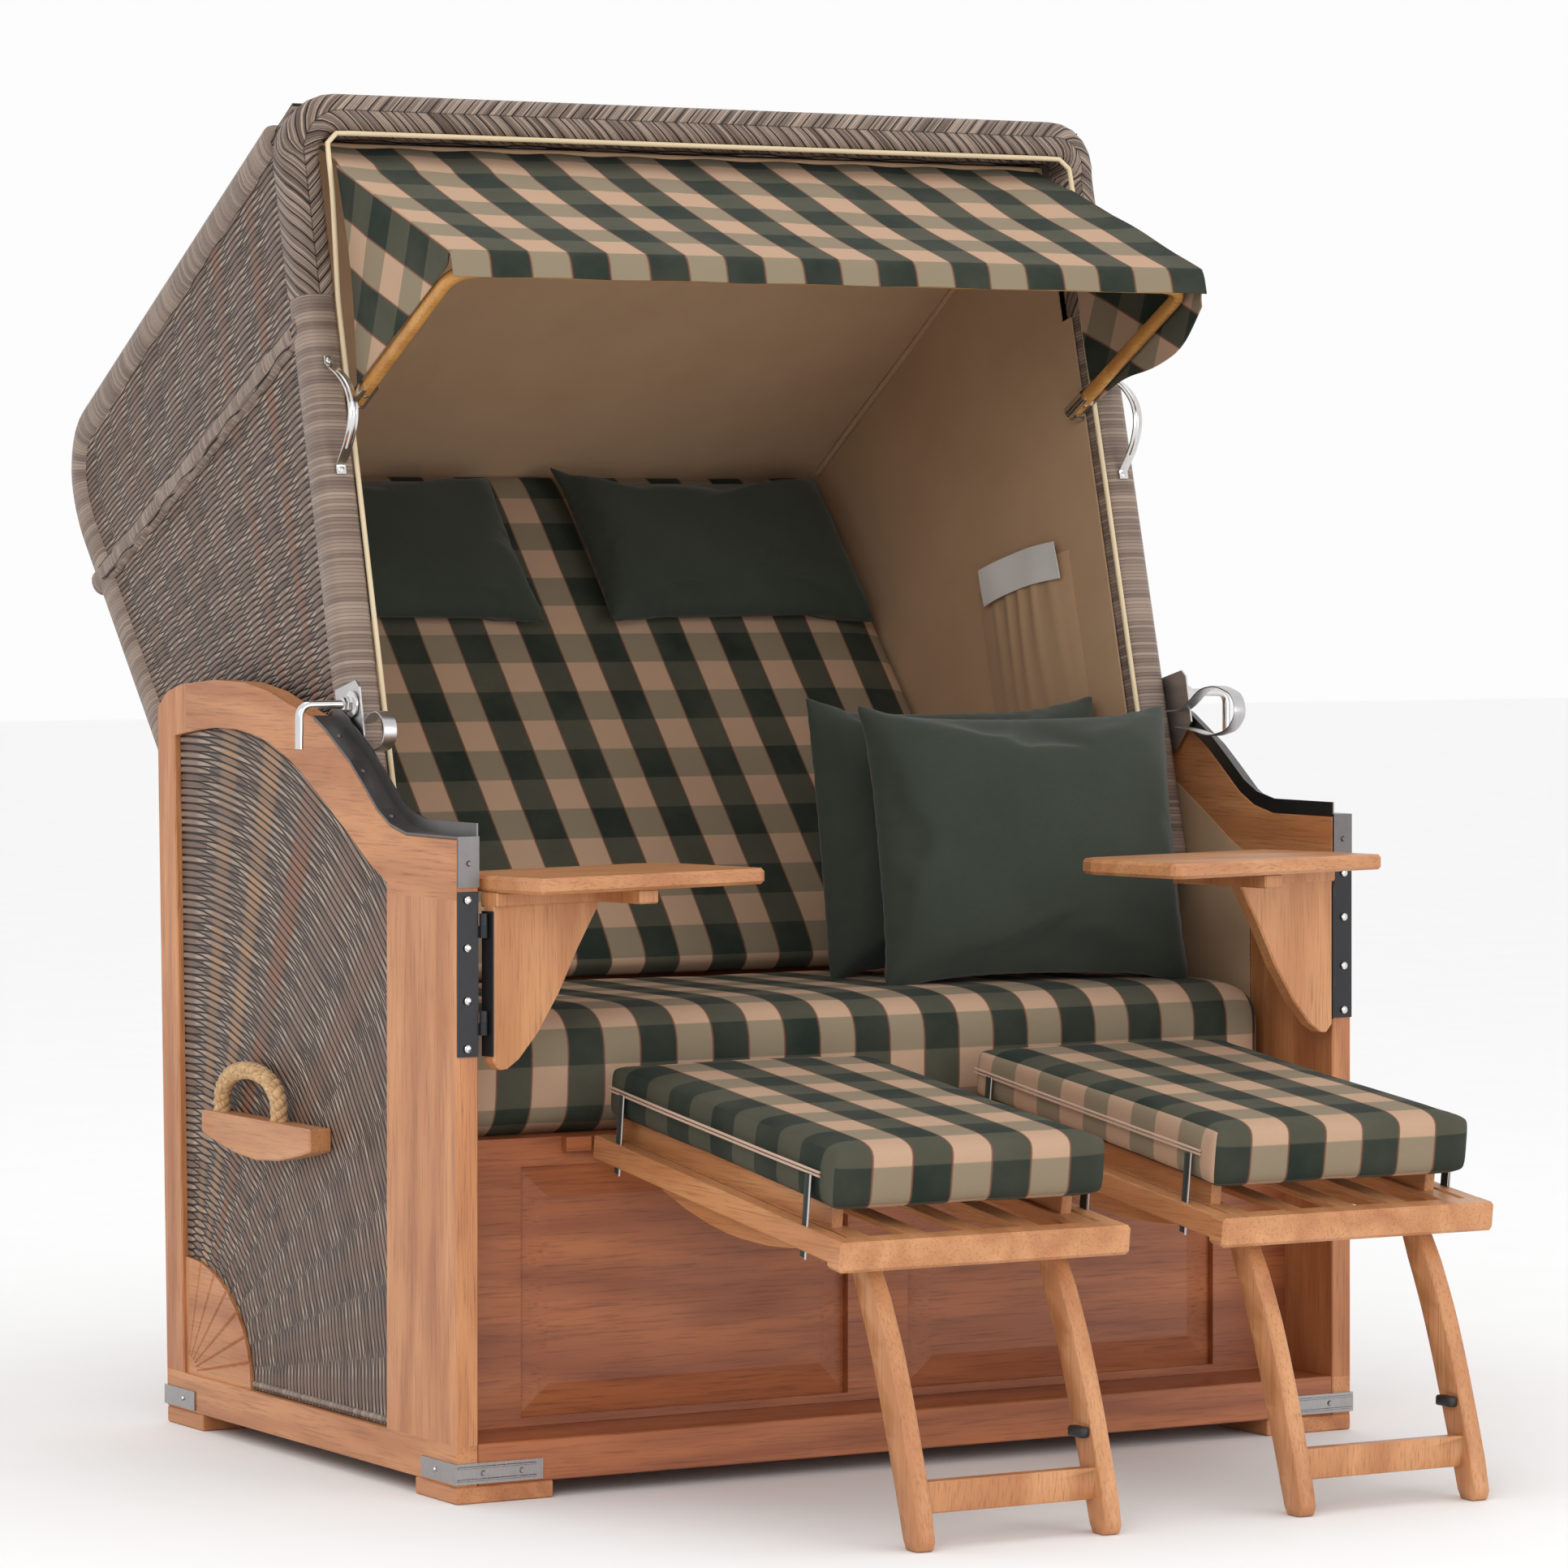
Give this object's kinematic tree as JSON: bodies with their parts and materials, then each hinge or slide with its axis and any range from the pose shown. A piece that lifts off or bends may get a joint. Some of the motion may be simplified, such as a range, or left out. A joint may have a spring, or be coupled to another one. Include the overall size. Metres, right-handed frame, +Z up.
{
  "type": "hooded beach chair",
  "caption": "Hooded wicker beach chair on an arched wooden base, with a reclining hood, folding awning, swing-out trays and cushioned footrests on folding legs.",
  "frame": {"origin": "on the floor, under the middle of the whole chair's bounding box at rest, hood reclined and footrests out", "axes": "+Z up, +Y towards the back of the chair, +X to the right as seen from the front"},
  "size_m": [1.3498, 1.78, 1.6705],
  "materials": {
    "wood": "oiled orange-brown hardwood, satin",
    "wicker": "woven grey-brown flat strands with copper and tan accents",
    "green_check": "woven check cloth, dark green with beige stripes, matt",
    "green_cloth": "plain dark green cloth, matt",
    "beige_cloth": "plain beige lining cloth, matt",
    "steel": "brushed stainless steel",
    "black_steel": "black coated steel, satin",
    "rope": "laid natural fibre rope",
    "bow_wood": "bent golden wood, clear coat",
    "black_plastic": "black moulded plastic"
  },
  "bodies": {
    "base": {"side_frame_left": "wood", "side_frame_right": "wood", "woven_panel_left": "wicker", "woven_panel_right": "wicker", "arch_rail_left": "steel", "arch_rail_right": "steel", "rope_block_left": "wood", "rope_block_right": "wood", "rope_handle_left": "rope", "rope_handle_right": "rope", "post_leaf_left": "black_steel", "post_leaf_right": "black_steel", "bracket_front_left": "steel", "bracket_front_right": "steel", "bracket_rear_left": "steel", "bracket_rear_right": "steel", "bottom_frame": "wood", "front_panel": "wood", "rear_panel": "wood", "seat_frame": "wood", "seat_cushion": "green_check", "throw_pillow_front": "green_cloth", "throw_pillow_rear": "green_cloth"},
    "hood": {"hood_plait": "wicker", "hood_frame": "wicker", "hood_side_left": "wicker", "hood_side_right": "wicker", "hood_roof": "wicker", "hood_back": "wicker", "hood_lining": "beige_cloth", "hood_arm_left": "wood", "hood_arm_right": "wood", "back_cushion": "green_check", "neck_pillow_left": "green_cloth", "neck_pillow_right": "green_cloth", "grab_handle_left": "steel", "grab_handle_right": "steel", "latch_lever_left": "steel", "latch_lever_right": "steel"},
    "awning": {"awning_bow": "bow_wood", "awning_socket_left": "steel", "awning_socket_right": "steel", "awning_cloth": "green_check"},
    "clamp_left": {"clamp_bolt_left": "steel"},
    "tray_left": {"tray_top_left": "wood", "tray_wing_left": "wood", "tray_leaf_left": "black_steel"},
    "footrest_left": {"footrest_frame_left": "wood", "footrest_cushion_left": "green_check"},
    "legs_left": {"footrest_legs_left": "wood", "leg_clip_left": "black_plastic"},
    "clamp_right": {"clamp_bolt_right": "steel"},
    "tray_right": {"tray_top_right": "wood", "tray_wing_right": "wood", "tray_leaf_right": "black_steel"},
    "footrest_right": {"footrest_frame_right": "wood", "footrest_cushion_right": "green_check"},
    "legs_right": {"footrest_legs_right": "wood", "leg_clip_right": "black_plastic"}
  },
  "joints": [
    {"name": "hood_recline", "type": "hinge", "parent": "base", "child": "hood", "pos_m": [0, 0.32923, 0.17], "axis": [1, 0, 0], "range_deg": [0, 14.5]},
    {"name": "awning_fold", "type": "hinge", "parent": "hood", "child": "awning", "pos_m": [0, 0.1583, 1.28636], "axis": [1, 0, 0], "range_deg": [-35, 40], "deforming": ["awning_cloth"]},
    {"name": "clamp_turn_left", "type": "hinge", "parent": "hood", "child": "clamp_left", "pos_m": [0, 0.01325, 0.92], "axis": [1, 0, 0], "range_deg": [-30, 60]},
    {"name": "clamp_turn_right", "type": "hinge", "parent": "hood", "child": "clamp_right", "pos_m": [0, 0.01325, 0.92], "axis": [1, 0, 0], "range_deg": [-30, 60]},
    {"name": "tray_swing_left", "type": "hinge", "parent": "base", "child": "tray_left", "pos_m": [-0.5975, -0.32977, 0], "axis": [0, 0, 1], "range_deg": [-102, 0]},
    {"name": "tray_swing_right", "type": "hinge", "parent": "base", "child": "tray_right", "pos_m": [0.5975, -0.32977, 0], "axis": [0, 0, 1], "range_deg": [-26, 76]},
    {"name": "footrest_lift_left", "type": "hinge", "parent": "base", "child": "footrest_left", "pos_m": [-0.213, -0.23877, 0.397], "axis": [1, 0, 0], "range_deg": [-10, 0]},
    {"name": "legs_fold_left", "type": "hinge", "parent": "footrest_left", "child": "legs_left", "pos_m": [-0.213, -0.74945, 0.32241], "axis": [1, 0, 0], "range_deg": [0, 100]},
    {"name": "footrest_lift_right", "type": "hinge", "parent": "base", "child": "footrest_right", "pos_m": [0.297, -0.23877, 0.397], "axis": [1, 0, 0], "range_deg": [-10, 0]},
    {"name": "legs_fold_right", "type": "hinge", "parent": "footrest_right", "child": "legs_right", "pos_m": [0.297, -0.74945, 0.32241], "axis": [1, 0, 0], "range_deg": [0, 100]}
  ]
}
